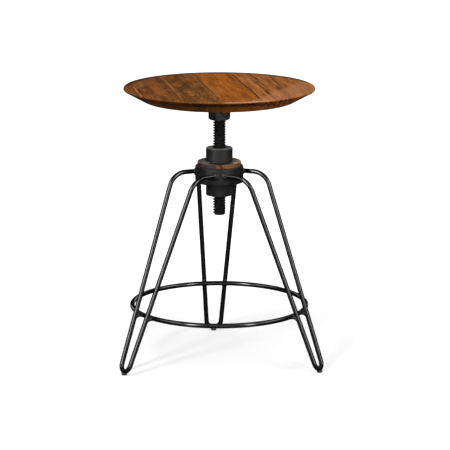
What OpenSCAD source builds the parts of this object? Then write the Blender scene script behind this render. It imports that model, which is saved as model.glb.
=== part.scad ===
// Adjustable swivel stool. Three hairpin legs are welded round a hub with a
// threaded tube. A round plank seat stands on a screw that turns in the tube,
// so the seat swivels and climbs at once. A foot ring ties the legs together.
// Origin: on the floor, on the screw's axis. +Z is up and -Y is the front.
// A bearing is the angle from the front (-Y) towards +X.

/* [Seat] */
// Diameter of the seat at its widest
seat_d = 356; // [340:1:380]
// Diameter of the flat underside
seat_bottom_d = 279; // [260:1:300]
// Thickness of the planks
seat_thick = 25; // [22:0.5:30]
// Height of the seat's top above the floor
seat_height = 521.5; // [518:0.5:535]
// Radius of the rounded rim
rim_round = 2.5; // [1.5:0.5:4]
// Width of a plank
plank_w = 68.65; // [66:0.05:72]
// Distance from the axis to the first seam, on the seat's left
first_seam = 157.7; // [150:0.1:165]
// Bearing of the planks
plank_bearing = 6.7; // [-15:0.1:15]

/* [Legs] */
// Diameter of the round bar in the legs and the foot ring
rod_d = 9; // [8:0.5:9.5]
// Height of the bars where they leave the hub
rod_z = 360.5; // [356:0.5:364]
// Distance from the axis to a shoulder's corner, along the leg's bearing
shoulder_r = 77.7; // [75:0.1:85]
// Distance between a leg's two shoulder corners
shoulder_gap = 74; // [70:1:80]
// Distance between a leg's two bars at the hub
hub_gap = 63.8; // [60:0.1:66]
// Centreline radius of the shoulder bend
shoulder_bend = 34; // [30:1:43]
// Distance from the axis to the middle of a foot loop
foot_r = 209.7; // [205:0.1:215]
// Centreline radius of the foot loop
foot_bend = 14.2; // [12:0.1:18]

/* [Foot ring and pads] */
// Centreline radius of the foot ring
foot_ring_r = 163.8; // [162:0.1:164]
// Height of the foot ring
foot_ring_z = 106.7; // [105:0.1:107.5]
// Diameter of a foot pad
pad_d = 10.5; // [10:0.5:14]
// Height of a foot pad
pad_h = 4.5; // [4:0.5:6]
// Height of the foot loops above the floor
pad_lift = 2.5; // [2:0.5:3.5]

/* [Hub] */
// Diameter of the threaded tube
tube_d = 50; // [46:1:54]
// Height of the tube's lower end
tube_bottom = 317.5; // [310:0.5:325]
// Height of the tube's upper end
tube_top = 407.5; // [395:0.5:410]
// Diameter of the ring that the legs are welded to
hub_d = 90; // [86:1:94]
// Height of the hub ring's lower face
hub_bottom = 342.5; // [338:0.5:345]
// Height of the hub ring's upper face
hub_top = 373.7; // [372:0.1:376]
// Diameter of the disc on the hub ring
disc_d = 81.5; // [70:0.5:84]
// Thickness of the disc
disc_thick = 8.5; // [4:0.5:10]

/* [Screw and seat fixing] */
// Outer diameter of the screw's thread
screw_d = 24; // [22:1:26]
// Pitch of the screw's thread
pitch = 5; // [4:0.5:6]
// Depth of the screw's thread
thread_depth = 2.75; // [2:0.25:3]
// Height of the screw's lower end
screw_bottom = 280; // [270:1:284]
// Hex nut, across flats
nut_af = 36; // [34:1:41]
// Height of the hex nut
nut_h = 29; // [24:1:30]
// Diameter of the washer
washer_d = 44; // [43:1:50]
// Thickness of the washer
washer_thick = 2.5; // [2:0.5:4]
// Diameter of the mounting plate
plate_d = 120; // [115:5:150]
// Thickness of the mounting plate
plate_thick = 5; // [4:0.5:6]
// Pitch circle of the wood screws
wood_screw_pcd = 96; // [90:1:98]

/* [Hidden] */
$fn = 72;

metal = "dimgray";
front_left = -60;
front_right = 60;
back = 180;
leg_bearings = [front_left, front_right, back];

fit = 0.05;                                  // gap between pieces that touch
tuck = 0.5;                                  // how far a straight bar runs into a bend
bar_d = rod_d - 0.04;                        // a straight bar, just inside the bend's skin
seat_r = seat_d / 2;
seat_bottom = seat_height - seat_thick;
plate_bottom = seat_bottom - plate_thick;
nut_top = plate_bottom - washer_thick;
nut_bottom = nut_top - nut_h;
screw_top = seat_bottom - 1;

mouth_chamfer = 2.5;                         // at both ends of the tube's bore
leg_weld_r = 7.2;                            // round a bar, at the hub
ring_weld_r = 7.5;                           // round a bar, at the foot ring
weld_proud = 3;                              // how far a leg weld stands off the hub

wood_screw_count = 6;
wood_screw_d = 4.8;
wood_screw_head_d = 9;
wood_screw_head_h = 3;
wood_screw_depth = 15;                       // in the wood

// The two bars of a leg lie in one sloping plane. In it, "down" runs from the
// shoulder line to the middle of the foot loop, and the bars close in by lean.
foot_z = pad_lift + rod_d / 2;
slope = [foot_r - shoulder_r, 0, foot_z - rod_z];
slope_len = norm(slope);
down = slope / slope_len;
loop_centre = slope_len - foot_bend;
lean = atan2(shoulder_gap / 2, loop_centre)
    - asin(foot_bend / norm([loop_centre, shoulder_gap / 2]));

function unit(v) = v / norm(v);
function shoulder(side) = [shoulder_r, side * shoulder_gap / 2, rod_z];
// Where a bar crosses the hub's surface, at hub_gap from its twin
function hub_entry(side) =
    [sqrt(pow(hub_d / 2, 2) - pow(hub_gap / 2, 2)), side * hub_gap / 2, rod_z];
function outward(side) = unit(shoulder(side) - hub_entry(side));
function downward(side) = down * cos(lean) - [0, side, 0] * sin(lean);
// Distance from a corner to the start of the bend that rounds it
function setback(side) = shoulder_bend * tan(acos(outward(side) * downward(side)) / 2);
// Where a straight bar ends and the foot loop starts, abreast of the loop's centre
function loop_start(side) = shoulder(side) + downward(side)
    * (([shoulder_r, 0, rod_z] + down * loop_centre - shoulder(side)) * downward(side));
// A bar's centreline at height z, on its straight run
function bar_at(side, z) =
    shoulder(side) + downward(side) * (z - rod_z) / downward(side).z;

// ---- Shared shapes ----

// Stands its children, made along +Z from the origin, at a point along a direction
module along(start, direction)
    translate(start)
        rotate([0, acos(unit(direction).z), atan2(direction.y, direction.x)])
            children();

// A straight bar whose ends tuck into the bends that it joins
module bar(start, end)
    along(start - unit(end - start) * tuck, end - start)
        cylinder(h = norm(end - start) + 2 * tuck, d = bar_d);

// A round bar bent from one direction to another
module bent_bar(start, before, after, radius) {
    inward = unit(after - before * (after * before));
    across = cross(-inward, before);
    centre = start + inward * radius;
    multmatrix([
        [-inward.x, before.x, across.x, centre.x],
        [-inward.y, before.y, across.y, centre.y],
        [-inward.z, before.z, across.z, centre.z],
        [0, 0, 0, 1]])
        rotate_extrude(angle = acos(before * after))
            translate([radius, 0]) circle(d = rod_d);
}

// Turns a shape made along +X to a bearing
module at_bearing(bearing) rotate([0, 0, bearing - 90]) children();

// A cylinder with both rims chamfered
module turned(bottom, top, d, chamfer)
    rotate_extrude()
        polygon([
            [0, bottom], [d / 2 - chamfer, bottom], [d / 2, bottom + chamfer],
            [d / 2, top - chamfer], [d / 2 - chamfer, top], [0, top]]);

module bore(d) cylinder(h = seat_height, d = d);

// ---- Legs ----

module foot_loop()
    bent_bar(loop_start(1), downward(1), -downward(-1), foot_bend);

// One leg along +X: a single bar, bent five times
module hairpin() {
    for (side = [-1, 1]) {
        corner = shoulder(side);
        bend_start = corner - outward(side) * setback(side);
        bend_end = corner + downward(side) * setback(side);
        difference() {
            bar(hub_entry(side) - outward(side) * rod_d, bend_start);
            bore(hub_d + 2 * fit);
        }
        bent_bar(bend_start, outward(side), downward(side), shoulder_bend);
        bar(bend_end, loop_start(side));
    }
    foot_loop();
}

module hairpin_leg(bearing) color(metal) at_bearing(bearing) hairpin();

module foot_pad(bearing)
    color("gray") at_bearing(bearing)
        difference() {
            translate([foot_r, 0, 0]) cylinder(h = pad_h, d = pad_d);
            foot_loop();
        }

// ---- Foot ring ----

module foot_ring()
    color(metal) translate([0, 0, foot_ring_z])
        rotate_extrude() translate([foot_ring_r, 0]) circle(d = rod_d);

// A bead where each bar passes outside the ring. It bites into both.
module ring_welds()
    color("slategray")
        for (bearing = leg_bearings, side = [-1, 1])
            at_bearing(bearing) {
                crossing = bar_at(side, foot_ring_z);
                bar_r = norm([crossing.x, crossing.y]);
                bead_r = (bar_r + foot_ring_r) / 2;
                translate([crossing.x * bead_r / bar_r, crossing.y * bead_r / bar_r, foot_ring_z])
                    sphere(r = ring_weld_r);
            }

// ---- Hub ----

module hub_ring()
    color(metal) difference() {
        turned(hub_bottom, hub_top, hub_d, 1.5);
        bore(tube_d + 2 * fit);
    }

module hub_top_disc()
    color("sienna") difference() {
        rotate_extrude()
            polygon([
                [0, hub_top], [disc_d / 2, hub_top], [disc_d / 2, hub_top + disc_thick - 1.5],
                [disc_d / 2 - 1.5, hub_top + disc_thick], [0, hub_top + disc_thick]]);
        bore(tube_d + 2 * fit);
    }

module nut_tube()
    color(metal) difference() {
        turned(tube_bottom, tube_top, tube_d, 1);
        bore(screw_d + 2 * fit);
        translate([0, 0, tube_top - mouth_chamfer])
            cylinder(h = mouth_chamfer + fit, d1 = screw_d, d2 = screw_d + 2 * mouth_chamfer);
        translate([0, 0, tube_bottom - fit])
            cylinder(h = mouth_chamfer + fit, d1 = screw_d + 2 * mouth_chamfer, d2 = screw_d);
    }

// A bead round each bar where it meets the hub ring
module leg_welds()
    color("slategray")
        for (bearing = leg_bearings, side = [-1, 1])
            at_bearing(bearing)
                difference() {
                    intersection() {
                        along(hub_entry(side) - outward(side) * rod_d, outward(side))
                            cylinder(h = 3 * rod_d, r = leg_weld_r);
                        bore(hub_d + 2 * weld_proud);
                    }
                    bore(hub_d + 2 * fit);
                    bar(hub_entry(side) - outward(side) * 2 * rod_d, shoulder(side));
                }

// A fillet under the hub ring, round the tube
module tube_weld()
    color("slategray") rotate_extrude()
        polygon([
            [tube_d / 2, hub_bottom - 4], [tube_d / 2 + 4, hub_bottom], [tube_d / 2, hub_bottom]]);

// ---- Screw ----

// The thread's outline is a row of grooves, one per pitch
module threaded_screw() {
    r = screw_d / 2;
    flank = thread_depth * tan(15);
    crest = 0.366 * pitch;
    first = screw_bottom + 3;
    grooves = floor((nut_bottom + nut_h / 2 - first) / pitch);
    color("darkslategray") rotate_extrude()
        polygon([
            [0, screw_bottom], [r - thread_depth, screw_bottom], [r, screw_bottom + 2],
            for (i = [0:grooves - 1], p = [
                [r, 0], [r - thread_depth, flank],
                [r - thread_depth, pitch - crest - flank], [r, pitch - crest]])
                [p.x, first + i * pitch + p.y],
            [r, screw_top], [0, screw_top]]);
}

// ---- Seat fixing ----

module hex_nut()
    color(metal) difference() {
        intersection() {
            translate([0, 0, nut_bottom]) rotate([0, 0, plank_bearing])
                cylinder(h = nut_h, d = nut_af / cos(30), $fn = 6);
            rotate_extrude()
                polygon([
                    [0, nut_bottom], [nut_af / 2 - 0.5, nut_bottom],
                    [nut_af / 2 + 4, nut_bottom + 2.6], [nut_af / 2 + 4, nut_top], [0, nut_top]]);
        }
        bore(screw_d + 2 * fit);
    }

module seat_washer()
    color("silver") difference() {
        translate([0, 0, nut_top + fit]) cylinder(h = washer_thick - 2 * fit, d = washer_d);
        bore(screw_d + 1);
    }

// The hole in the plate's middle, opened upwards for the weld
module plate_hole() {
    bore(screw_d + 2 * fit);
    plug();
}

module plug()
    translate([0, 0, plate_bottom + 2])
        cylinder(h = plate_thick - 2, d1 = screw_d + 2 * fit, d2 = screw_d + 8);

module at_wood_screws()
    rotate([0, 0, plank_bearing])
        for (i = [0:wood_screw_count - 1])
            rotate([0, 0, 30 + i * 360 / wood_screw_count])
                translate([wood_screw_pcd / 2, 0, 0]) children();

module mounting_plate()
    color(metal) difference() {
        turned(plate_bottom, seat_bottom, plate_d, 0.8);
        plate_hole();
        at_wood_screws() bore(wood_screw_d + 0.7);
    }

module plug_weld()
    color("slategray") difference() {
        plug();
        translate([0, 0, screw_bottom]) cylinder(h = screw_top - screw_bottom, d = screw_d + 2 * fit);
    }

module wood_screws()
    color("silver") at_wood_screws() {
        translate([0, 0, plate_bottom - wood_screw_head_h])
            cylinder(h = wood_screw_head_h, d1 = wood_screw_head_d - 3, d2 = wood_screw_head_d);
        translate([0, 0, plate_bottom])
            cylinder(h = plate_thick + wood_screw_depth, d = wood_screw_d);
    }

// ---- Seat ----

// The whole round seat: a flat top, a rounded rim and a wide bevel below it
module seat_blank()
    rotate_extrude($fn = 180)
        polygon([
            [0, seat_bottom], [seat_bottom_d / 2, seat_bottom],
            for (a = [-60:15:90])
                [seat_r - rim_round + rim_round * cos(a),
                 seat_height - rim_round + rim_round * sin(a)],
            [0, seat_height]]);

// Plank number 1 is on the seat's left and number 6 on its right
module seat_plank(number) {
    left = number == 1 ? -seat_r - 1 : (number - 2) * plank_w - first_seam;
    right = number == 6 ? seat_r + 1 : (number - 1) * plank_w - first_seam;
    color(number % 2 == 0 ? "peru" : "sienna")
        difference() {
            intersection() {
                seat_blank();
                rotate([0, 0, plank_bearing])
                    translate([left, -seat_r - 1, seat_bottom - 1])
                        cube([right - left, seat_d + 2, seat_thick + 2]);
            }
            at_wood_screws() translate([0, 0, seat_bottom - 1])
                cylinder(h = wood_screw_depth + 1 + fit, d = wood_screw_d + 2 * fit);
        }
}

hairpin_leg(front_left);  // hairpin_leg_front_left
hairpin_leg(front_right);  // hairpin_leg_front_right
hairpin_leg(back);  // hairpin_leg_back
foot_ring();
ring_welds();
foot_pad(front_left);  // foot_pad_front_left
foot_pad(front_right);  // foot_pad_front_right
foot_pad(back);  // foot_pad_back
hub_ring();
hub_top_disc();
nut_tube();
leg_welds();
tube_weld();
threaded_screw();
hex_nut();
seat_washer();
mounting_plate();
plug_weld();
wood_screws();
seat_plank(1);  // seat_plank_1
seat_plank(2);  // seat_plank_2
seat_plank(3);  // seat_plank_3
seat_plank(4);  // seat_plank_4
seat_plank(5);  // seat_plank_5
seat_plank(6);  // seat_plank_6
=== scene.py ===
"""Adjustable swivel stool: looks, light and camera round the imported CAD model.

Shapes are worked out in millimetres and made in metres; lights and camera are in metres.
Origin on the floor at the screw's axis, +Z up, -Y the front. A bearing is the angle from the
front (-Y) towards +X.
"""

import math

import bmesh
import bpy
from mathutils import Matrix, Vector, noise


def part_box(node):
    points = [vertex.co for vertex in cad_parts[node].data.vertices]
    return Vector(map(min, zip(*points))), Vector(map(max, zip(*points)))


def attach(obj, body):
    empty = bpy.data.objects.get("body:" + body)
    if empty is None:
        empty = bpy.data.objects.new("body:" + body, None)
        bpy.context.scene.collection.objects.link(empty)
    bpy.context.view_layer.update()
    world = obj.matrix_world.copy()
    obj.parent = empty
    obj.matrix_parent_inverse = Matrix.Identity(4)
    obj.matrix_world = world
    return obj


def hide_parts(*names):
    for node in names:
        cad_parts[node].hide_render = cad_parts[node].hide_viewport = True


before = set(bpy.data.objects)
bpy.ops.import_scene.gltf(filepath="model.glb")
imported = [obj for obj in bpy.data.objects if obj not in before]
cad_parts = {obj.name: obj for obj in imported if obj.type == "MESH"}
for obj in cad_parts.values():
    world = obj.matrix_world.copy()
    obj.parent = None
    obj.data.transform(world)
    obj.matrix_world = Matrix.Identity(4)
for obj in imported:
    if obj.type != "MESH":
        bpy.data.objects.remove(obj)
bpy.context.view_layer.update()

MM = 0.001


def span(node):
    """(lowest z, highest z, outer radius) of a CAD node that lies round the axis."""
    low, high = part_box(node)
    return low.z / MM, high.z / MM, (high.x - low.x) / 2 / MM


# ---- Sizes shared with the CAD model ----

LEG_BEARINGS = {"front_left": -60, "front_right": 60, "back": 180}
ROD_R = 4.5
ROD_Z = 360.5  # where the bars leave the hub
HUB_GAP = 63.8  # between a leg's two bars, at the hub
SHOULDER_R, SHOULDER_GAP, SHOULDER_BEND = 77.7, 74.0, 34.0
FOOT_R, FOOT_BEND, FOOT_Z = 209.7, 14.2, 7.0
RING_R, RING_Z = 163.8, 106.7

TUBE_LOW, TUBE_TOP, TUBE_R = span("nut_tube")
HUB_LOW, HUB_TOP, HUB_R = span("hub_ring")
DISC_LOW, DISC_TOP, DISC_R = span("hub_top_disc")
SCREW_LOW, SCREW_TOP, SCREW_R = span("threaded_screw")
NUT_LOW, NUT_TOP = span("hex_nut")[:2]
WASHER_LOW, WASHER_TOP, WASHER_R = span("seat_washer")
PLATE_LOW = span("mounting_plate")[0]
PITCH, THREAD_DEPTH, THREAD_CREST = 5.0, 2.75, 1.83
NUT_AF = 36.0  # across flats
FIT = 0.05  # clearance round the screw

SEAT_LOW, SEAT_TOP = span("seat_plank_3")[:2]
SEAT_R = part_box("seat_plank_6")[1].x / MM
SEAT_FLAT_R = 139.5  # of the flat underside, inside the bevel
RIM_ROUND = 2.5
BEVEL_FOOT_ROUND = 12.0
PLANK_BEARING = math.radians(6.7)
PLANK_W, FIRST_SEAM = 68.65, 157.7
SEAMS = [i * PLANK_W - FIRST_SEAM for i in range(5)]
SEAM_EASE = 0.35
WOOD_SCREW_PCD, WOOD_SCREW_R, WOOD_SCREW_HEAD_R, WOOD_SCREW_HEAD_H = 96.0, 2.4, 4.5, 2.6
WOOD_SCREW_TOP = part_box("wood_screws")[1].z / MM


# ---- Mesh tools ----

def piece(name, verts, faces, body, slot, material, replaces=(), sharp=38):
    """A finished object from millimetre vertices. It rides on a body and stands for CAD nodes."""
    mesh = bpy.data.meshes.new(name)
    mesh.from_pydata([Vector(v) * MM for v in verts], [], faces)
    work = bmesh.new()
    work.from_mesh(mesh)
    bmesh.ops.recalc_face_normals(work, faces=work.faces)
    work.to_mesh(mesh)
    work.free()
    mesh.validate()
    mesh.polygons.foreach_set("use_smooth", [True] * len(mesh.polygons))
    mesh.set_sharp_from_angle(angle=math.radians(sharp))
    mesh.materials.append(material)
    ob = bpy.data.objects.new(name, mesh)
    bpy.context.scene.collection.objects.link(ob)
    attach(ob, body)
    if replaces:
        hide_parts(*replaces)
    return ob


def join(parts):
    """One (verts, faces) from several."""
    verts, faces = [], []
    for v, f in parts:
        base = len(verts)
        verts += v
        faces += [[base + i for i in face] for face in f]
    return verts, faces


def grid(rows, wrap_rows=False, wrap_cols=False):
    """(verts, faces) of a sheet of quads from rows of points of equal length."""
    n, m = len(rows), len(rows[0])
    verts = [p for row in rows for p in row]
    faces = []
    for i in range(n if wrap_rows else n - 1):
        for j in range(m if wrap_cols else m - 1):
            i2, j2 = (i + 1) % n, (j + 1) % m
            faces.append([i * m + j, i2 * m + j, i2 * m + j2, i * m + j2])
    return verts, faces


def rounded(points, steps=6):
    """A closed outline of (x, y, radius) corners as points, each corner rounded to its radius."""
    out = []
    n = len(points)
    for i, (x, y, r) in enumerate(points):
        corner = Vector((x, y))
        if not r:
            out.append((x, y))
            continue
        a = (Vector(points[i - 1][:2]) - corner).normalized()
        b = (Vector(points[(i + 1) % n][:2]) - corner).normalized()
        half = a.angle(b) / 2
        centre = corner + (a + b).normalized() * (r / math.sin(half))
        start, end = corner + a * r / math.tan(half), corner + b * r / math.tan(half)
        u, v = start - centre, end - centre
        turn = math.atan2(u.x * v.y - u.y * v.x, u.dot(v))
        for k in range(steps + 1):
            t = turn * k / steps
            out.append((centre.x + u.x * math.cos(t) - u.y * math.sin(t),
                        centre.y + u.x * math.sin(t) + u.y * math.cos(t)))
    return out


def lathe(outline, segments=160, shape=None):
    """A closed outline of (radius, z) turned round the axis.

    shape(r, z, angle), if given, returns where a point of the outline goes.
    """
    rows = []
    for s in range(segments):
        t = 2 * math.pi * s / segments
        ring = []
        for r, z in outline:
            if shape:
                r, z = shape(r, z, t)
            ring.append((r * math.cos(t), r * math.sin(t), z))
        rows.append(ring)
    return grid(rows, wrap_rows=True, wrap_cols=True)


def sweep(path, radius, sides=36):
    """A round bar along a path, closed by a cap at each end."""
    tangents = [(path[min(i + 1, len(path) - 1)] - path[max(i - 1, 0)]).normalized()
                for i in range(len(path))]
    across = tangents[0].orthogonal().normalized()
    rows = []
    for i, (p, t) in enumerate(zip(path, tangents)):
        if i:
            across = (tangents[i - 1].rotation_difference(t) @ across).normalized()
        other = t.cross(across)
        rows.append([p + (across * math.cos(a) + other * math.sin(a)) * radius
                     for a in (2 * math.pi * k / sides for k in range(sides))])
    verts, faces = grid(rows, wrap_cols=True)
    last = (len(path) - 1) * sides
    return verts, faces + [list(range(sides))[::-1], list(range(last, last + sides))]


def turned_to(bearing):
    """The matrix that turns a shape made along +X to a bearing."""
    return Matrix.Rotation(math.radians(bearing - 90), 4, "Z")


def moved(part, matrix):
    """A (verts, faces) with its vertices moved by a matrix."""
    return [matrix @ Vector(v) for v in part[0]], part[1]


# ---- The hairpin legs' centreline, made along +X ----

down = Vector((FOOT_R - SHOULDER_R, 0, FOOT_Z - ROD_Z))
slope_len = down.length
down.normalize()
loop_centre = slope_len - FOOT_BEND
lean = (math.atan2(SHOULDER_GAP / 2, loop_centre)
        - math.asin(FOOT_BEND / math.hypot(loop_centre, SHOULDER_GAP / 2)))


def shoulder(side):
    return Vector((SHOULDER_R, side * SHOULDER_GAP / 2, ROD_Z))


def hub_entry(side):
    return Vector((math.sqrt(HUB_R**2 - (HUB_GAP / 2) ** 2), side * HUB_GAP / 2, ROD_Z))


def outward(side):
    return (shoulder(side) - hub_entry(side)).normalized()


def downward(side):
    return down * math.cos(lean) - Vector((0, side, 0)) * math.sin(lean)


def loop_start(side):
    middle = Vector((SHOULDER_R, 0, ROD_Z)) + down * loop_centre
    return shoulder(side) + downward(side) * (middle - shoulder(side)).dot(downward(side))


def bar_at(side, z):
    return shoulder(side) + downward(side) * ((z - ROD_Z) / downward(side).z)


def bend(start, before, after, radius, steps):
    """Points round a bend, from just after its start to its end."""
    inward = (after - before * after.dot(before)).normalized()
    turn = before.angle(after)
    return [start + inward * radius * (1 - math.cos(turn * k / steps))
            + before * radius * math.sin(turn * k / steps) for k in range(1, steps + 1)]


def straight(start, end, step=12.0):
    n = max(1, round((end - start).length / step))
    return [start.lerp(end, k / n) for k in range(1, n + 1)]


def half_leg(side):
    """From inside the hub's skin to the start of the foot loop."""
    setback = SHOULDER_BEND * math.tan(outward(side).angle(downward(side)) / 2)
    bend_start = shoulder(side) - outward(side) * setback
    bend_end = shoulder(side) + downward(side) * setback
    first = hub_entry(side) - outward(side)
    return ([first] + straight(first, bend_start)
            + bend(bend_start, outward(side), downward(side), SHOULDER_BEND, 16)
            + straight(bend_end, loop_start(side)))


def leg_path():
    """From the hub, round the foot loop and back to the hub."""
    loop = bend(loop_start(1), downward(1), -downward(-1), FOOT_BEND, 28)
    return half_leg(1) + loop[:-1] + half_leg(-1)[::-1]


# ---- Welds: a soft union of the two metals, seen from the middle of the joint ----

ICO = bmesh.new()
bmesh.ops.create_icosphere(ICO, subdivisions=5, radius=1)
RAYS = [v.co.normalized() for v in ICO.verts]
RAY_FACES = [[v.index for v in f.verts] for f in ICO.faces]
ICO.free()


WELD_REACH = 9.5


def soft_min(a, b, k):
    """The smaller of two distances, blended where they differ by less than k."""
    h = max(k - abs(a - b), 0.0) / k
    return min(a, b) - h * h * k / 4


def weld_bead(centre, distance):
    """A closed bead: along each ray from centre, as far as distance(point) < 0, or to the reach."""
    steps, halvings = 22, 7
    verts = []
    for ray in RAYS:
        low, high = 0.0, WELD_REACH
        for k in range(1, steps + 1):
            t = WELD_REACH * k / steps
            if distance(centre + ray * t) > 0:
                high = t
                for _ in range(halvings):
                    mid = (low + high) / 2
                    if distance(centre + ray * mid) > 0:
                        high = mid
                    else:
                        low = mid
                break
            low = t
        verts.append(centre + ray * high)
    return verts, RAY_FACES


def from_line(p, start, direction):
    """How far a point lies from a line."""
    d = p - start
    return (d - direction * d.dot(direction)).length


def ring_weld(side):
    """Where a bar passes outside the foot ring. The fillet is fuller below the ring."""
    start, direction = bar_at(side, RING_Z), downward(side)
    out = Vector((start.x, start.y, 0)).normalized()
    centre = out * ((math.hypot(start.x, start.y) + RING_R) / 2) + Vector((0, 0, RING_Z))

    def distance(p):
        bar = from_line(p, start, direction) - ROD_R
        ring = math.hypot(math.hypot(p.x, p.y) - RING_R, p.z - RING_Z) - ROD_R
        low = min(max((centre.z + 1.5 - p.z) / 5, 0.0), 1.0)
        lump = 0.22 * noise.noise(p * 0.55) + 0.10 * noise.noise(p * 1.6)
        return soft_min(bar, ring, 4.0 + 7.5 * low) + 0.06 - lump * 0.8

    return weld_bead(centre, distance)


def leg_weld(side):
    """A rope of weld round a bar where it meets the hub ring."""
    start, direction = hub_entry(side), outward(side)
    sideways = direction.cross(Vector((0, 0, 1))).normalized()

    def distance(p):
        axis = from_line(p, start, direction)
        hub = math.hypot(p.x, p.y) - HUB_R
        around = math.atan2(p.z - ROD_Z, (p - start).dot(sideways))
        thick = 2.1 + 0.18 * math.sin(around * 11) + 0.7 * noise.noise(p * 0.25)
        rope = math.hypot(axis - ROD_R - 0.7, hub - 0.1) - thick
        return soft_min(min(axis - ROD_R, hub) + 0.12, rope, 1.2)

    return weld_bead(start, distance)


# ---- Screw, nut and small fixings ----

def screw_shape():
    """A right-hand helix, cut flat at both ends, with a chamfer at the lower end."""
    flank = THREAD_DEPTH * math.tan(math.radians(15))
    root = SCREW_R - THREAD_DEPTH
    groove = PITCH - THREAD_CREST
    crest_ease, root_ease = 0.2, 0.15
    turn_outline = [(0, SCREW_R - crest_ease), (crest_ease * 0.6, SCREW_R - 2 * crest_ease),
                    (flank, root + root_ease), (flank + 2 * root_ease, root),
                    (groove - flank - 2 * root_ease, root), (groove - flank, root + root_ease),
                    (groove - crest_ease * 0.6, SCREW_R - 2 * crest_ease),
                    (groove, SCREW_R - crest_ease), (groove + crest_ease, SCREW_R),
                    (PITCH - crest_ease, SCREW_R)]
    sides = 72
    turns = int((SCREW_TOP - SCREW_LOW) / PITCH) + 3
    rows = []
    for turn in range(turns):
        for dz, r in turn_outline:
            rows.append([(r * math.cos(a), r * math.sin(a),
                          SCREW_LOW - 1.5 * PITCH + (turn + a / (2 * math.pi)) * PITCH + dz)
                         for a in (2 * math.pi * k / sides for k in range(sides))])
    verts, faces = grid(rows)
    m, per = sides, len(turn_outline)
    for i in range(len(rows) - 1 - per):  # the last column meets the first one a turn further up
        faces.append([i * m + m - 1, (i + 1) * m + m - 1, (i + 1 + per) * m, (i + per) * m])
    work = bmesh.new()
    made = [work.verts.new(v) for v in verts]
    for f in faces:
        work.faces.new([made[i] for i in f])
    for z, up in ((SCREW_LOW, -1), (SCREW_TOP, 1)):
        bmesh.ops.bisect_plane(work, geom=work.verts[:] + work.edges[:] + work.faces[:],
                               plane_co=(0, 0, z), plane_no=(0, 0, up), clear_outer=True)
        rim = [e for e in work.edges if e.is_boundary
               and all(abs(v.co.z - z) < 1e-3 for v in e.verts)]
        bmesh.ops.holes_fill(work, edges=rim, sides=0)
    chamfer, chamfer_slope = 2.4, 0.95
    for v in work.verts:
        r = math.hypot(v.co.x, v.co.y)
        most = SCREW_R - chamfer + max(v.co.z - SCREW_LOW, 0) * chamfer_slope
        if r > most:
            v.co.x *= most / r
            v.co.y *= most / r
    work.verts.index_update()
    shape = ([v.co.copy() for v in work.verts], [[v.index for v in f.verts] for f in work.faces])
    work.free()
    return shape


def nut_shape():
    """A hexagon with softened corners, turned away at the lower end."""
    sides = 6 * 24
    corner_ease, edge_ease = 0.12, 0.4
    bore_r, face_r = SCREW_R + FIT, NUT_AF / 2 - 0.5
    corner_r = NUT_AF / 2 / math.cos(math.radians(30)) - corner_ease
    rows = []
    for k in range(sides):
        a = 2 * math.pi * k / sides
        off_flat = math.radians(math.degrees(a) % 60 - 30)
        r = min(NUT_AF / 2 / math.cos(off_flat), corner_r)
        turned_z = NUT_LOW + max(r - face_r, 0.2) * 0.75
        profile = [(bore_r, NUT_TOP), (r - edge_ease, NUT_TOP), (r, NUT_TOP - 0.5), (r, turned_z),
                   (face_r, NUT_LOW), (SCREW_R + 1.4, NUT_LOW), (bore_r, NUT_LOW + 1.2)]
        b = a + PLANK_BEARING
        rows.append([(across * math.cos(b), across * math.sin(b), z) for across, z in profile])
    return grid(rows, wrap_rows=True, wrap_cols=True)


def wood_screw_shape():
    """A pan head with a cross recess, on a plain shank."""
    sides, rings = 72, 16
    recess, recess_half, recess_reach = 1.5, 0.75, 2.6
    rows = []
    for k in range(sides):
        a = 2 * math.pi * k / sides
        row = []
        for j in range(1, rings + 1):
            r = WOOD_SCREW_HEAD_R * j / rings
            x, y = abs(r * math.cos(a)), abs(r * math.sin(a))
            z = -WOOD_SCREW_HEAD_H * math.sqrt(max(1 - (r / WOOD_SCREW_HEAD_R) ** 4, 0.0))
            arm = max(0.0, min(1.0, (recess_half - min(x, y)) / 0.3))
            arm *= max(0.0, min(1.0, (recess_reach - r) / 0.5))
            row.append((r * math.cos(a), r * math.sin(a), z + recess * arm))
        for z in (0, WOOD_SCREW_TOP - PLATE_LOW):
            row.append((WOOD_SCREW_R * math.cos(a), WOOD_SCREW_R * math.sin(a), z))
        rows.append(row)
    verts, faces = grid(rows, wrap_rows=True)
    m = rings + 2
    middle = len(verts)
    verts.append((0, 0, -WOOD_SCREW_HEAD_H + recess))
    faces += [[middle, k * m, (k + 1) % sides * m] for k in range(sides)]
    faces.append([k * m + m - 1 for k in range(sides)])
    return verts, faces


# ---- Seat ----

TOP_RINGS = [6, 14, 24, 36, 48, 60, 72, 84, 96, 108, 120, 132, 142, 150, 157, 163, 168, 172]
UNDER_RINGS = [125, 100, 75, 50, 25]
SEAT_SIDES = 300


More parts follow.
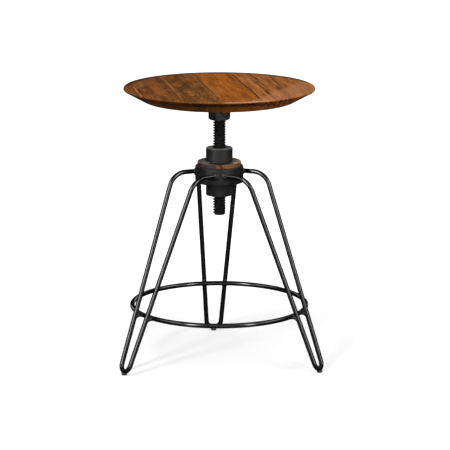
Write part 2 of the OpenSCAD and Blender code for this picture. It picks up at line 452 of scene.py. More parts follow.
def seat_outline():
    """The seat's half section as (radius, z) from the middle of the top to the middle below."""
    slope = math.atan2(SEAT_TOP - RIM_ROUND * (1 + math.sin(math.radians(60))) - SEAT_LOW,
                       SEAT_R - RIM_ROUND / 2 - SEAT_FLAT_R)
    setback = BEVEL_FOOT_ROUND * math.tan(slope / 2)
    out = [(SEAT_R - RIM_ROUND, SEAT_TOP)]
    for k in range(1, 9):
        a = math.radians(90 - 150 * k / 8)
        out.append((SEAT_R - RIM_ROUND + RIM_ROUND * math.cos(a),
                    SEAT_TOP - RIM_ROUND + RIM_ROUND * math.sin(a)))
    end_r = SEAT_FLAT_R + setback * math.cos(slope)
    end_z = SEAT_LOW + setback * math.sin(slope)
    r0, z0 = out[-1]
    out += [(r0 + (end_r - r0) * k / 9, z0 + (end_z - z0) * k / 9) for k in range(1, 9)]
    for k in range(7):
        a = slope * (1 - k / 6)
        out.append((SEAT_FLAT_R - setback + BEVEL_FOOT_ROUND * math.sin(a),
                    SEAT_LOW + BEVEL_FOOT_ROUND * (1 - math.cos(a))))
    return [(r, SEAT_TOP) for r in TOP_RINGS] + out + [(r, SEAT_LOW) for r in UNDER_RINGS]


def seat_blank():
    """The whole seat as a bmesh in the planks' own frame, a little uneven, as turned by hand."""
    outline = seat_outline()
    work = bmesh.new()
    columns = []
    for s in range(SEAT_SIDES):
        t = 2 * math.pi * s / SEAT_SIDES
        u = Vector((math.cos(t), math.sin(t), 0))
        wander = 0.16 * (1 + noise.noise(u * 2.2)) + 0.05 * (1 + noise.noise(u * 9))
        column = []
        for r, z in outline:
            rim = max(0.0, min(1.0, (r - 130) / 45))
            p = u * (r - wander * rim) + Vector((0, 0, z))
            dip = 0.10 * rim if z > SEAT_TOP - 6 else 0.0
            p.z -= dip * (1 + noise.noise(u * 5 + Vector((0, 0, 3))))
            column.append(work.verts.new(p))
        columns.append(column)
    n = len(outline)
    for s in range(SEAT_SIDES):
        a, b = columns[s], columns[(s + 1) % SEAT_SIDES]
        for j in range(n - 1):
            work.faces.new([a[j], a[j + 1], b[j + 1], b[j]])
    for j, z in ((0, SEAT_TOP), (n - 1, SEAT_LOW)):
        middle = work.verts.new((0, 0, z))
        for s in range(SEAT_SIDES):
            work.faces.new([middle, columns[s][j], columns[(s + 1) % SEAT_SIDES][j]])
    bmesh.ops.recalc_face_normals(work, faces=work.faces)
    return work


def plank_shape(blank, left, right):
    """The blank between two seams, with its long edges eased."""
    work = blank.copy()
    for x, way in ((left, -1), (right, 1)):
        if x is None:
            continue
        for at, clear in ((x - way * SEAM_EASE, False), (x, True)):
            bmesh.ops.bisect_plane(work, geom=work.verts[:] + work.edges[:] + work.faces[:],
                                   plane_co=(at, 0, 0), plane_no=(way, 0, 0),
                                   clear_outer=clear, dist=1e-5)
        work.normal_update()
        rim = [v for v in work.verts if abs(v.co.x - x) < 1e-3 and v.is_boundary]
        for v, n in [(v, v.normal.copy()) for v in rim]:
            n.x = 0
            if n.length > 1e-6:
                v.co -= n.normalized() * SEAM_EASE * 0.8
        edges = [e for e in work.edges if e.is_boundary]
        bmesh.ops.holes_fill(work, edges=edges, sides=0)
    work.verts.index_update()
    turn = Matrix.Rotation(PLANK_BEARING, 3, "Z")
    shape = ([turn @ v.co for v in work.verts], [[v.index for v in f.verts] for f in work.faces])
    work.free()
    return shape


# ---- Material tools ----

class Nodes:
    """Short calls that add nodes to a tree."""

    def __init__(self, tree):
        self.tree = tree
        self.coords = tree.nodes.new("ShaderNodeTexCoord")
        self.place = self.coords.outputs["Object"]

    def put(self, socket, value):
        """Link a socket, or set its value."""
        if isinstance(value, bpy.types.NodeSocket):
            self.tree.links.new(value, socket)
        elif isinstance(value, (tuple, list)) and len(value) == 3 and socket.type == "RGBA":
            socket.default_value = (*value, 1)
        else:
            socket.default_value = value

    def node(self, kind, inputs=None, **settings):
        """A shader node with its inputs linked or set."""
        n = self.tree.nodes.new("ShaderNode" + kind)
        for key, value in settings.items():
            setattr(n, key, value)
        for key, value in (inputs or {}).items():
            self.put(n.inputs[key], value)
        return n

    def math(self, op, a, b=0.0, c=0.0):
        return self.node("Math", {0: a, 1: b, 2: c}, operation=op).outputs[0]

    def times(self, value, *others):
        for other in others:
            value = self.math("MULTIPLY", value, other)
        return value

    def plus(self, value, *others):
        for other in others:
            value = self.math("ADD", value, other)
        return value

    def swing(self, value, width):
        """A 0-1 value made to swing round zero."""
        return self.times(self.math("SUBTRACT", value, 0.5), width)

    def length(self, u, v):
        return self.math("SQRT", self.plus(self.times(u, u), self.times(v, v)))

    def step(self, value, low, high, to_low=0.0, to_high=1.0):
        """A smooth step from low to high."""
        return self.node("MapRange", {"Value": value, "From Min": low, "From Max": high,
                                      "To Min": to_low, "To Max": to_high},
                         interpolation_type="SMOOTHSTEP").outputs["Result"]

    def scaled(self, scale, vector=None, turn=0.0, shift=(0, 0, 0)):
        return self.node("Mapping", {"Vector": vector or self.place, "Location": shift,
                                     "Rotation": (0, 0, turn), "Scale": scale}).outputs[0]

    def noise(self, vector, scale=1.0, detail=4.0, rough=0.55, distortion=0.0):
        return self.node("TexNoise", {"Vector": vector, "Scale": scale, "Detail": detail,
                                      "Roughness": rough, "Distortion": distortion}).outputs["Fac"]

    def mix(self, fac, a, b, blend="MIX"):
        n = self.node("Mix", data_type="RGBA", blend_type=blend)
        for socket, value in ((n.inputs[0], fac), (n.inputs[6], a), (n.inputs[7], b)):
            self.put(socket, value)
        return n.outputs[2]

    def ramp(self, fac, *stops):
        """Colours along fac, from (position, colour) stops."""
        n = self.node("ValToRGB", {0: fac})
        elements = n.color_ramp.elements
        while len(elements) < len(stops):
            elements.new(0.5)
        for element, (at, colour) in zip(elements, stops):
            element.position = at
            element.color = (*colour, 1)
        return n.outputs[0]

    def bump(self, height, distance, strength=1.0, normal=None):
        inputs = {"Height": height, "Distance": distance, "Strength": strength}
        if normal:
            inputs["Normal"] = normal
        return self.node("Bump", inputs).outputs[0]


class Shader(Nodes):
    """A material with one Principled shader."""

    def __init__(self, name, **constants):
        self.material = bpy.data.materials.new(name)
        self.material.use_nodes = True
        super().__init__(self.material.node_tree)
        self.main = self.tree.nodes["Principled BSDF"]
        for key, value in constants.items():
            self.main.inputs[key.replace("_", " ")].default_value = value

    def finish(self, colour=None, roughness=None, normal=None):
        for name, value in (("Base Color", colour), ("Roughness", roughness), ("Normal", normal)):
            if value is not None:
                self.put(self.main.inputs[name], value)
        return self.material


def srgb(r, g, b):
    """A colour given as 0-255 display values, made linear."""
    return tuple(c / 12.92 if c <= 0.04045 else ((c + 0.055) / 1.055) ** 2.4
                 for c in (r / 255, g / 255, b / 255))


def tinted(colour, gain):
    """A colour made lighter or darker."""
    return tuple(gain * c for c in colour)


# ---- Metal ----

PALE_TOP_GREY = (0.34, 0.33, 0.32)


def paint(name, dark, light, rough, gloss, wear=0.0, wear_colour=(0.10, 0.095, 0.09), pale_top=None):
    """Satin paint: a mottled tone, a fine orange peel, edges rubbed by wear.

    The last argument is the height of an upward face given a pale grey.
    """
    s = Shader(name, Metallic=0.0, Specular_IOR_Level=gloss)
    broad = s.noise(s.scaled((28, 28, 28)), detail=4, rough=0.6)
    fine = s.noise(s.scaled((420, 420, 420)), detail=3)
    tone = s.mix(s.step(broad, 0.32, 0.68), dark, light)
    tone = s.mix(s.times(s.step(fine, 0.45, 0.8), 0.35), tone, tinted(light, 1.7))
    if wear:
        edge = s.step(s.node("NewGeometry").outputs["Pointiness"], 0.515, 0.57)
        patchy = s.step(s.noise(s.scaled((160, 160, 160)), detail=5, rough=0.7), 0.38, 0.62)
        tone = s.mix(s.times(edge, patchy, wear), tone, wear_colour)
    if pale_top:
        z = s.node("SeparateXYZ", {0: s.place}).outputs[2]
        nz = s.node("SeparateXYZ", {0: s.coords.outputs["Normal"]}).outputs[2]
        face = s.times(s.step(z, (pale_top - 1.4) * MM, (pale_top - 0.4) * MM), s.step(nz, 0.3, 0.9),
                       s.step(broad, 0.25, 0.6, 0.45, 1.0))
        tone = s.mix(face, tone, PALE_TOP_GREY)
    peel = s.noise(s.scaled((900, 900, 900)), detail=2, rough=0.4)
    pits = s.noise(s.scaled((210, 210, 210)), detail=4, rough=0.6)
    normal = s.bump(pits, 0.00010, 0.5, s.bump(peel, 0.00003, 0.6))
    return s.finish(tone, s.step(broad, 0.3, 0.7, *rough), normal)


def patina():
    """The disc on the hub: heat-tinted brown, darker at the front left, orange at the front right.

    Its top is greyer at the left and paler at the right.
    """
    s = Shader("disc_patina", Metallic=0.0, Specular_IOR_Level=0.35)
    x = s.node("SeparateXYZ", {0: s.place}).outputs[0]
    nz = s.node("SeparateXYZ", {0: s.coords.outputs["Normal"]}).outputs[2]
    blot = s.noise(s.scaled((60, 60, 60)), detail=5, rough=0.65, distortion=0.6)
    grain = s.noise(s.scaled((300, 300, 300)), detail=4, rough=0.7)
    side = s.plus(s.math("MULTIPLY_ADD", x, 10.0, 0.5), s.swing(blot, 1.1))
    top = s.ramp(side, (0.12, srgb(122, 110, 106)), (0.34, srgb(34, 23, 20)),
                 (0.62, srgb(44, 31, 24)), (0.84, srgb(196, 172, 148)))
    wall = s.ramp(side, (0.10, srgb(56, 40, 36)), (0.42, srgb(32, 18, 18)),
                  (0.56, srgb(122, 80, 42)), (0.90, srgb(92, 68, 46)))
    colour = s.mix(s.step(nz, 0.3, 0.8), wall, top)
    colour = s.mix(s.times(s.step(blot, 0.52, 0.68), 0.6), colour, srgb(42, 28, 25))
    colour = s.mix(s.times(s.step(grain, 0.4, 0.75), 0.3), colour, srgb(58, 48, 44))
    rough = s.step(grain, 0.3, 0.7, 0.42, 0.62)
    return s.finish(colour, rough, s.bump(grain, 0.00012, 0.5))


def steel():
    """Zinc-plated steel with a faint spangle and short scratches."""
    s = Shader("fixing_steel", Metallic=1.0)
    cloud = s.noise(s.scaled((150, 150, 150)), detail=4)
    scratch = s.noise(s.scaled((2500, 200, 200)), detail=2)
    colour = s.mix(cloud, (0.34, 0.34, 0.35), (0.52, 0.52, 0.53))
    return s.finish(colour, s.step(cloud, 0.3, 0.7, 0.28, 0.5), s.bump(scratch, 0.00003, 0.4))


def nylon():
    """The foot pads: grey nylon, scuffed near the floor."""
    s = Shader("foot_pad", Metallic=0.0, Specular_IOR_Level=0.4)
    z = s.node("SeparateXYZ", {0: s.place}).outputs[2]
    cloud = s.noise(s.scaled((500, 500, 500)), detail=5, rough=0.7)
    colour = s.mix(cloud, srgb(50, 50, 51), srgb(78, 78, 78))
    scuff = s.times(s.step(z, 0.0015, 0.0), s.step(cloud, 0.4, 0.6))
    colour = s.mix(scuff, colour, srgb(70, 66, 62))
    return s.finish(colour, s.step(cloud, 0.3, 0.7, 0.5, 0.7), s.bump(cloud, 0.0001, 0.4))


# ---- Wood ----

TAN_LINE, DARK_LINE = srgb(188, 132, 92), srgb(44, 23, 10)
# painted shade: the first colour is painted shade under the rim, the last painted shade round the
# back rim; the middle one is real saw strokes
UNDER_RIM_SHADE, SAW_STROKE, BACK_RIM_SHADE = srgb(26, 13, 5), srgb(30, 15, 6), srgb(30, 15, 7)
# painted light: the first colour is a painted highlight on the front rim, the second the tint of a
# painted reflection
RIM_GLINT, SHEEN_TINT = srgb(190, 138, 116), srgb(162, 110, 70)

# The painted reflection lies beyond a chord: its unit direction in the planks' frame, and its
# distance.
SHEEN_CHORD = (math.cos(math.radians(-33)), math.sin(math.radians(-33)), 116.0)


def oval(s, place, centre, half):
    """How far out a point lies in an oval: 1 at its edge."""
    u, v = (s.times(s.math("SUBTRACT", at, middle), 1 / size)
            for at, middle, size in zip(place, centre, half))
    return s.length(u, v)


def glue_line(s, colour, x, y, top_face, gaps, at, width, tint, strength, from_y, to_y):
    """The line at a plank's left edge: broken by gaps, with a dark seam beside it."""
    near = s.step(s.math("ABSOLUTE", s.math("SUBTRACT", x, at)), width, width * 0.5)
    beside = s.math("ABSOLUTE", s.math("SUBTRACT", x, at + 2 * width))
    shade = s.times(s.step(beside, width * 1.1, width * 0.4), s.step(y, 60, -60, 0.35, 0.85))
    colour = s.mix(s.times(shade, top_face), colour, DARK_LINE)
    along = s.times(s.step(y, to_y, to_y - 25), s.step(y, from_y - 25, from_y))
    amount = s.times(near, along, s.step(gaps, 0.3, 0.45), strength, top_face)
    return s.mix(amount, colour, tint)


def wood(number, tones, ring, rings, streaks, blotch, tilt=(0.0, 0.0), drift=26, line=None,
         smudges=(), figure=None):
    """One plank. Its rings, fibres and pores run through the solid, so the bevel shows end grain.

    tones are the dark, middle and light colours; rings, streaks and blotch are strengths.
    ring is the pith's x and z in the plank's frame and the rings' spacing, in millimetres.
    tilt leans the pith sideways and up along the plank, which draws cathedral figure, and
    drift is how far the rings sway.
    line is the glue line at its left edge, as (x, width, tint, strength, lowest y, highest y).
    smudges are (x, y, half width, half length, tint, strength).
    figure is a nest of long ovals where the saw grazed the rings, as (x, y, half width, half
    length).
    """
    dark, middle, light = tones
    s = Shader(f"wood_{number}", Metallic=0.0, Specular_IOR_Level=0.10,
               Coat_Weight=0.03, Coat_Roughness=0.25)
    seed = 37.0 * number
    p = s.scaled((1000, 1000, 1000), turn=-PLANK_BEARING)
    x, y, z = s.node("SeparateXYZ", {0: p}).outputs
    facing = s.node("VectorRotate", {"Vector": s.coords.outputs["Normal"],
                                     "Angle": -PLANK_BEARING}, rotation_type="Z_AXIS").outputs[0]
    _, ny, nz = s.node("SeparateXYZ", {0: facing}).outputs
    top_face, bevel = s.step(nz, 0.2, 0.6), s.step(nz, 0.5, -0.3)

    # growth rings round the pith
    waver = s.noise(s.scaled((0.013, 0.0045, 0.02), p, shift=(seed, 0, 0)), detail=3)
    px = s.plus(x, s.swing(waver, drift), s.math("MULTIPLY_ADD", y, tilt[0], -ring[0]))
    pz = s.math("MULTIPLY_ADD", y, tilt[1], s.math("SUBTRACT", z, SEAT_TOP + ring[1]))
    uneven = s.noise(s.scaled((0.05, 0.004, 0.05), p, shift=(0, seed, 0)), detail=3)
    count = s.plus(s.math("DIVIDE", s.length(px, pz), ring[2]), s.times(uneven, 3.0))
    saw = s.math("FRACT", count)
    late = s.times(s.step(saw, 0.35, 0.9), s.step(saw, 1.0, 0.93))

    # straight streaks, clouds, fibres and pores
    band = s.noise(s.scaled((0.17, 0.0040, 0.17), p, shift=(0, 0, seed)), detail=3, rough=0.6)
    cloud = s.noise(s.scaled((0.055, 0.020, 0.055), p, shift=(seed, 0, seed)), detail=4,
                    rough=0.6, distortion=0.8)
    fibre = s.noise(s.scaled((0.42, 0.014, 0.42), p, shift=(seed, seed, 0)), detail=6, rough=0.7)
    pores = s.step(s.noise(s.scaled((1.3, 0.05, 1.3), p, shift=(seed, 2, 5)), detail=2), 0.62, 0.70)
    colour = s.mix(s.step(cloud, 0.36, 0.62), middle, light)
    for amount, strength, tint in (
            (s.step(cloud, 0.50, 0.38), blotch, dark),
            (s.step(band, 0.50, 0.61), streaks, dark),
            (s.step(band, 0.46, 0.36), 0.5 * streaks, tinted(light, 1.3)),
            (late, rings, dark),
            (s.step(fibre, 0.46, 0.64), 0.55, tinted(dark, 0.9)),
            (s.step(fibre, 0.47, 0.36), 0.45, tinted(light, 1.35)),
            (pores, 0.6, tinted(dark, 0.5))):
        colour = s.mix(s.times(amount, strength), colour, tint)

    for at_x, at_y, half_x, half_y, tint, strength in smudges:
        out = s.plus(oval(s, (x, y), (at_x, at_y), (half_x, half_y)), s.swing(fibre, 2.2))
        colour = s.mix(s.times(s.step(out, 1.15, 0.35), strength), colour, tint)
    if figure:
        out = s.plus(oval(s, (x, y), figure[:2], figure[2:]), s.swing(waver, 0.5),
                     s.swing(fibre, 0.25))
        nest = s.math("FRACT", s.times(out, 2.0))
        nest = s.times(s.step(nest, 0.40, 0.85), s.step(nest, 1.0, 0.94),
                       s.step(out, 2.1, 1.3, 0.0, 0.75))
        colour = s.mix(nest, colour, dark)
    if line:
        gaps = s.noise(s.scaled((0, 0.03, 0), p, shift=(0, seed, 0)), detail=3)
        colour = glue_line(s, colour, x, y, top_face, gaps, *line)

    # end grain on the bevel and the rim, and painted shade just under the rim
    end = s.step(s.math("ABSOLUTE", ny), 0.25, 0.85)
    speck = s.noise(s.scaled((0.9, 0.3, 0.5), p), detail=4, rough=0.7)
    colour = s.mix(s.times(end, s.step(speck, 0.35, 0.65, 0.05, 0.5)), colour, tinted(dark, 0.4))
    under_rim_shade = s.times(bevel, s.step(z, SEAT_TOP - 15, SEAT_TOP - 7, 0.0, 0.82),
                    s.step(x, 30, 80, 1.0, 0.35), s.step(x, -110, -60, 0.6, 1.0))
    colour = s.mix(under_rim_shade, colour, UNDER_RIM_SHADE)

    # a row of dark strokes on the bevel, at the front right
    comb = s.math("FRACT", s.math("MULTIPLY_ADD", waver, 2.0, s.times(x, 1 / 9.5)))
    stroke = s.times(s.step(comb, 0.45, 0.75), s.step(comb, 1.0, 0.85),
                     s.step(x, 50, 60), s.step(x, 128, 105), bevel, s.step(y, -40, -80),
                     s.step(z, SEAT_TOP - 19, SEAT_TOP - 13, 0.0, 0.75))
    colour = s.mix(stroke, colour, SAW_STROKE)

    # a painted reflection: a paler patch at the front right, as of a light mirrored in the varnish
    beyond = s.plus(s.times(x, SHEEN_CHORD[0]), s.times(y, SHEEN_CHORD[1]), s.swing(speck, 5.0))
    painted_sheen = s.times(s.step(beyond, SHEEN_CHORD[2] - 2, SHEEN_CHORD[2] + 3), s.step(nz, 0.3, 0.9))
    colour = s.mix(s.times(painted_sheen, 0.48), colour, SHEEN_TINT)

    # the rim's top edge: painted shade round the back, a painted highlight along the front
    # painted shade: the back of the rim's top edge made dark
    rim = s.length(x, y)
    back_rim_shade = s.times(s.step(s.plus(rim, s.swing(speck, 6.0)), SEAT_R - 18, SEAT_R - 8),
                    s.step(y, -10, 95, 0.0, 0.94))
    colour = s.mix(back_rim_shade, colour, BACK_RIM_SHADE)
    # a painted highlight: the front of the rim's top edge made pale
    rim_glint = s.times(s.step(rim, SEAT_R - 5, SEAT_R - 2), top_face,
                  s.step(x, 75, 55), s.step(x, -30, -10), s.step(y, -100, -130),
                  s.step(speck, 0.3, 0.55, 0.15, 0.5))
    colour = s.mix(rim_glint, colour, RIM_GLINT)

    rough = s.plus(s.step(fibre, 0.3, 0.7, 0.46, 0.58), s.times(painted_sheen, 0.08))
    relief = s.plus(s.times(fibre, 0.6), s.times(pores, -0.6), s.times(late, 0.25))
    return s.finish(colour, rough, s.bump(relief, 0.00022, 0.55))


PLANKS = {
    1: dict(tones=(srgb(66, 34, 10), srgb(103, 59, 23), srgb(119, 71, 30)), rings=0.3,
            ring=(-160, -30, 6.0), streaks=0.3, blotch=0.3),
    2: dict(tones=(srgb(63, 35, 15), srgb(108, 64, 28), srgb(129, 77, 34)), rings=0.25,
            ring=(-110, -45, 7.0), tilt=(0.05, 0.04), streaks=0.3, blotch=0.55,
            smudges=((-152, -28, 6, 36, srgb(56, 34, 20), 0.75),
                     (-112, 105, 34, 45, srgb(78, 46, 22), 0.45),
                     (-120, -25, 16, 55, srgb(146, 90, 38), 0.35)),
            line=(SEAMS[0] + 0.8, 0.95, TAN_LINE, 0.85, -200, 40)),
    3: dict(tones=(srgb(60, 35, 14), srgb(111, 67, 30), srgb(133, 83, 37)), rings=0.45,
            ring=(-62, -8, 9.0), tilt=(-0.10, 0.17), streaks=0.45, blotch=0.4, drift=18,
            smudges=((-58, 28, 10, 40, srgb(58, 32, 14), 0.6),
                     (-38, -25, 7, 50, srgb(62, 34, 14), 0.55),
                     (-76, 95, 16, 50, srgb(66, 38, 18), 0.5),
                     (-64, -60, 9, 44, srgb(164, 108, 52), 0.5)),
            figure=(-65, -55, 12, 52),
            line=(SEAMS[1] + 0.8, 0.7, TAN_LINE, 0.6, -110, 200)),
    4: dict(tones=(srgb(90, 47, 13), srgb(139, 77, 22), srgb(158, 93, 30)), rings=0.2,
            ring=(30, -80, 5.0), tilt=(0.04, 0.0), streaks=0.35, blotch=0.2,
            smudges=((40, 110, 4, 70, srgb(66, 34, 12), 0.7),
                     (55, -30, 7, 130, srgb(92, 54, 22), 0.45)),
            line=(SEAMS[2] + 0.8, 0.7, TAN_LINE, 0.6, -130, 70)),
    5: dict(tones=(srgb(72, 36, 12), srgb(141, 83, 36), srgb(170, 107, 54)), rings=0.35, drift=8,
            ring=(82, -150, 6.0), streaks=1.0, blotch=0.1,
            line=(SEAMS[3] + 0.3, 1.0, DARK_LINE, 0.9, -200, 200)),
    6: dict(tones=(srgb(81, 46, 19), srgb(134, 80, 39), srgb(160, 101, 53)), rings=0.35, drift=8,
            ring=(160, -120, 6.0), streaks=0.6, blotch=0.2,
            line=(SEAMS[4] + 0.6, 0.7, TAN_LINE, 0.3, -200, 200)),
}


# ---- Build the metalwork ----

black = paint("frame_black", (0.0028, 0.0028, 0.0031), (0.005, 0.005, 0.0053),
              rough=(0.09, 0.16), gloss=0.75)
hub_black = paint("hub_black", (0.006, 0.006, 0.0065), (0.012, 0.012, 0.0125),
                  rough=(0.40, 0.52), gloss=0.34, wear=0.6)
tube_black = paint("tube_black", (0.010, 0.010, 0.0105), (0.017, 0.017, 0.0175),
                   rough=(0.40, 0.52), gloss=0.36, wear=0.8, wear_colour=(0.085, 0.083, 0.080),
                   pale_top=TUBE_TOP)
weld_black = paint("weld_black", (0.006, 0.0055, 0.0055), (0.011, 0.0095, 0.009),
                   rough=(0.34, 0.48), gloss=0.4, wear=0.3, wear_colour=(0.035, 0.030, 0.028))
screw_black = paint("screw_black", (0.004, 0.004, 0.004), (0.007, 0.007, 0.007),
                    rough=(0.42, 0.54), gloss=0.15, wear=0.3, wear_colour=(0.03, 0.03, 0.03))
disc_brown = patina()
zinc = steel()
pad_grey = nylon()

leg = sweep(leg_path(), ROD_R)
for side, bearing in LEG_BEARINGS.items():
    piece(f"leg_{side}", *moved(leg, turned_to(bearing)), "base", "frame_black", black,
          [f"hairpin_leg_{side}"])
    pad_low, pad_high = (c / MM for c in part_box(f"foot_pad_{side}"))
    pad_r, pad_h = (pad_high.x - pad_low.x) / 2, pad_high.z
    pad = lathe(rounded([(0.6, 0, 0), (pad_r, 0, 0.8), (pad_r, pad_h, 1.0), (0.6, pad_h, 0)]), 48)
    spot = Matrix.Translation(((pad_low.x + pad_high.x) / 2, (pad_low.y + pad_high.y) / 2, 0))
    piece(f"pad_{side}", *moved(pad, spot), "base", "foot_pad", pad_grey, [f"foot_pad_{side}"])

ring_section = [(RING_R + ROD_R * math.cos(a), RING_Z + ROD_R * math.sin(a))
                for a in (2 * math.pi * k / 28 for k in range(28))]
piece("ring", *lathe(ring_section, 220), "base", "frame_black", black, ["foot_ring"])

for kind, make in (("ring", ring_weld), ("leg", leg_weld)):
    beads = [moved(make(side), turned_to(bearing))
             for bearing in LEG_BEARINGS.values() for side in (-1, 1)]
    piece(f"{kind}_beads", *join(beads), "base", "weld_black", weld_black, [f"{kind}_welds"],
          sharp=60)

hole_r = TUBE_R + 0.03
piece("hub", *lathe(rounded([(hole_r, HUB_LOW, 0), (HUB_R, HUB_LOW, 1.6), (HUB_R, HUB_TOP, 1.6),
                             (hole_r, HUB_TOP, 0)])),
      "base", "frame_black", hub_black, ["hub_ring"])
piece("disc", *lathe(rounded([(hole_r, DISC_LOW, 0), (DISC_R, DISC_LOW, 0),
                              (DISC_R, DISC_TOP, 1.8), (hole_r, DISC_TOP, 0)])),
      "base", "disc_patina", disc_brown, ["hub_top_disc"])
bore_r, mouth = SCREW_R + FIT, 2.5
piece("tube", *lathe(rounded([(bore_r, TUBE_LOW + mouth, 0), (bore_r + mouth, TUBE_LOW, 0.3),
                              (TUBE_R, TUBE_LOW, 1.2), (TUBE_R, TUBE_TOP, 1.2),
                              (bore_r + mouth, TUBE_TOP, 0.3), (bore_r, TUBE_TOP - mouth, 0)])),
      "base", "frame_black", tube_black, ["nut_tube"])


def tube_weld_point(r, z, t):
    """A ripple round the fillet, outside the tube."""
    u = Vector((math.cos(t), math.sin(t), 0))
    size = 0.88 + 0.07 * math.sin(t * 58 + 2 * noise.noise(u * 3)) + 0.10 * noise.noise(u * 6)
    return TUBE_R + (r - TUBE_R) * (size if r > TUBE_R else 1), HUB_LOW + (z - HUB_LOW) * size


bead = rounded([(TUBE_R - 0.3, HUB_LOW + 0.3, 0), (TUBE_R - 0.3, HUB_LOW - 4, 0),
                (TUBE_R + 3.2, HUB_LOW - 3.0, 2.0), (TUBE_R + 4, HUB_LOW + 0.3, 0)])
piece("tube_bead", *lathe(bead, 720, tube_weld_point), "base", "weld_black", weld_black,
      ["tube_weld"])

piece("screw", *screw_shape(), "seat", "screw_black", screw_black, ["threaded_screw"], sharp=30)
piece("nut", *nut_shape(), "seat", "frame_black", hub_black, ["hex_nut"], sharp=25)
piece("washer", *lathe(rounded([(SCREW_R + 0.5, WASHER_LOW, 0.3), (WASHER_R, WASHER_LOW, 0.5),
                                (WASHER_R, WASHER_TOP, 0.5), (SCREW_R + 0.5, WASHER_TOP, 0.3)])),
      "lift", "fixing_steel", zinc, ["seat_washer"])

wood_screw, screws = wood_screw_shape(), []
for k in range(6):
    a = PLANK_BEARING + math.radians(30 + 60 * k)
    spot = Matrix.Translation((WOOD_SCREW_PCD / 2 * math.cos(a),
                               WOOD_SCREW_PCD / 2 * math.sin(a), PLATE_LOW))
    screws.append(moved(wood_screw, spot @ Matrix.Rotation(1.1 * k * k, 4, "Z")))
piece("plate_screws", *join(screws), "seat", "fixing_steel", zinc, ["wood_screws"])

for node, material in (("mounting_plate", black), ("plug_weld", weld_black)):
    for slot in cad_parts[node].material_slots:
        slot.material = material

# ---- Build the seat ----

blank = seat_blank()
for number, looks in PLANKS.items():
    left = SEAMS[number - 2] if number > 1 else None
    right = SEAMS[number - 1] if number < 6 else None
    piece(f"plank_{number}", *plank_shape(blank, left, right), "seat", f"wood_{number}",
          wood(number, **looks), [f"seat_plank_{number}"], sharp=40)
blank.free()


# ---- Floor, light and camera ----

FLOOR_HALF, FLOOR_DROP = 20.0, 0.0002
# The floor glows white, but less near the stool, so that shadows show there: the glow near it,
# and the distances between which it grows.
NEAR_GLOW, GLOW_FROM, GLOW_TO = 0.53, 0.30, 0.85

# Panels seen only in reflections: bearing and half width in degrees, lowest and highest sine of
# their elevation, strength.
PANELS = (
    (-40, 5, 0.0, 0.66, 11.5), (38, 5, -0.02, 0.60, 8.0),
    (-38, 10, 0.38, 0.58, 6.0), (38, 10, 0.38, 0.58, 5.0),
    (-46, 22, 0.12, 0.50, 1.8), (0, 22, 0.12, 0.50, 0.7), (44, 18, 0.12, 0.50, 0.9),
    (0, 80, 0.80, 0.97, 0.8), (0, 14, -0.02, 0.09, 2.6),
    (-78, 18, 0.46, 0.72, 3.0), (78, 18, 0.46, 0.72, 4.5),
    (-152, 8, 0.0, 0.6, 0.8), (152, 8, 0.0, 0.6, 0.8), (0, 62, -0.80, -0.14, 0.16),
)
PANEL_EDGE, PANEL_RIM = 4, 0.06

# Area lights: name, place, the height aimed at over the origin, size, power in watts.
LIGHTS = (
    ("key", (-1.35, -1.95, 2.15), 0.32, (0.4, 1.2), 62),
    ("fill", (1.9, -2.2, 1.15), 0.3, (0.5, 1.5), 34),
    ("top", (0.1, -0.5, 2.9), 0.5, (1.4, 1.4), 22),
    ("bounce_right", (1.5, -0.9, 0.12), 0.5, (0.8, 0.5), 11),
    ("bounce_left", (-1.5, -0.9, 0.12), 0.5, (0.8, 0.5), 8),
)

# The camera as fitted to the photo, then carried round the stool by CAMERA_ROUND.
CAMERA_PLACE = Vector((0, -4.4478, 1.2401))
CAMERA_DOWN, CAMERA_YAW, CAMERA_ROLL = (math.radians(a) for a in (12.437, 0.139, 0.069))
CAMERA_ROUND = Matrix.Rotation(math.radians(-3), 3, "Z")
CAMERA_LENS = 194.35


def placed(name, data):
    """A new object in the scene."""
    ob = bpy.data.objects.new(name, data)
    bpy.context.scene.collection.objects.link(ob)
    return ob


def area_light(name, place, aim, size, power):
    """A rectangular light, left out of reflections."""
    data = bpy.data.lights.new(name, "AREA")
    data.shape, data.size, data.size_y = "RECTANGLE", size[0], size[1]
    data.energy = power
    ob = placed(name, data)
    ob.location = place
    ob.rotation_euler = (Vector((0, 0, aim)) - Vector(place)).to_track_quat("-Z", "Y").to_euler()
    ob.visible_glossy = False


floor_mesh = bpy.data.meshes.new("floor")
corners = [(-FLOOR_HALF, -FLOOR_HALF, 0), (FLOOR_HALF, -FLOOR_HALF, 0),
           (FLOOR_HALF, FLOOR_HALF, 0), (-FLOOR_HALF, FLOOR_HALF, 0)]
floor_mesh.from_pydata(corners, [], [(0, 1, 2, 3)])
floor = placed("floor", floor_mesh)
floor.location.z = -FLOOR_DROP
pale = Shader("floor_pale", Specular_IOR_Level=0.0, Roughness=0.9)
pale.finish((0.5, 0.5, 0.5), 0.9)
away = pale.node("VectorMath", {0: pale.place}, operation="LENGTH").outputs["Value"]
pale.put(pale.main.inputs["Emission Color"], pale.step(away, GLOW_FROM, GLOW_TO, NEAR_GLOW, 1.0))
pale.main.inputs["Emission Strength"].default_value = 1.0
floor_mesh.materials.append(pale.material)
floor.visible_glossy = False
floor.visible_diffuse = False

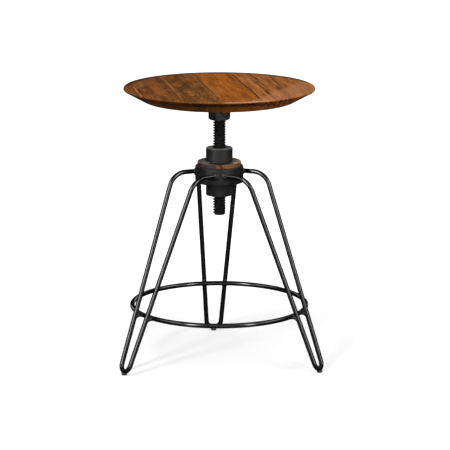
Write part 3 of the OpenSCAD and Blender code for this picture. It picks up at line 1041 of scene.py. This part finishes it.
world = bpy.data.worlds.new("studio")
bpy.context.scene.world = world
world.use_nodes = True
sky = Nodes(world.node_tree)
sx, sy, sz = sky.node("SeparateXYZ", {0: sky.coords.outputs["Generated"]}).outputs
sky_bearing = sky.math("ARCTAN2", sx, sky.times(sy, -1))


def softbox(bearing, half, low, high, strength):
    """One of the panels, with soft edges."""
    off = sky.math("ABSOLUTE", sky.math("SUBTRACT", sky_bearing, math.radians(bearing)))
    across = sky.step(off, math.radians(half + PANEL_EDGE), math.radians(half - PANEL_EDGE))
    return sky.times(across, sky.step(sz, low - PANEL_RIM, low + PANEL_RIM),
                     sky.step(sz, high + PANEL_RIM, high - PANEL_RIM), strength)


ambient = sky.ramp(sky.math("MULTIPLY_ADD", sz, 0.5, 0.5),
                   (0.0, (0.20, 0.20, 0.20)), (0.5, (0.22, 0.22, 0.22)), (1.0, (0.5, 0.5, 0.5)))
mirrored = sky.plus(0.01, *(softbox(*panel) for panel in PANELS))
ray = sky.node("LightPath").outputs
seen = sky.mix(ray["Is Glossy Ray"], ambient, mirrored)
background = world.node_tree.nodes["Background"]
sky.put(background.inputs["Color"], sky.mix(ray["Is Camera Ray"], seen, (1, 1, 1)))
background.inputs["Strength"].default_value = 1.0

for light in LIGHTS:
    area_light(*light)

camera_data = bpy.data.cameras.new("camera")
camera_data.lens, camera_data.sensor_width = CAMERA_LENS, 36
camera_data.clip_start, camera_data.clip_end = 0.1, 60
camera = placed("camera", camera_data)
forward = Vector((math.sin(CAMERA_YAW) * math.cos(CAMERA_DOWN),
                  math.cos(CAMERA_YAW) * math.cos(CAMERA_DOWN), -math.sin(CAMERA_DOWN)))
right = Vector((math.cos(CAMERA_YAW), -math.sin(CAMERA_YAW), 0))
up = right.cross(forward)
turn_right = right * math.cos(CAMERA_ROLL) + up * math.sin(CAMERA_ROLL)
turn_up = up * math.cos(CAMERA_ROLL) - right * math.sin(CAMERA_ROLL)
facing = Matrix((turn_right, turn_up, -forward)).transposed()
camera.matrix_world = (Matrix.Translation(CAMERA_ROUND @ CAMERA_PLACE)
                       @ (CAMERA_ROUND @ facing).to_4x4())
bpy.context.scene.camera = camera
bpy.context.scene.view_settings.view_transform = "Standard"
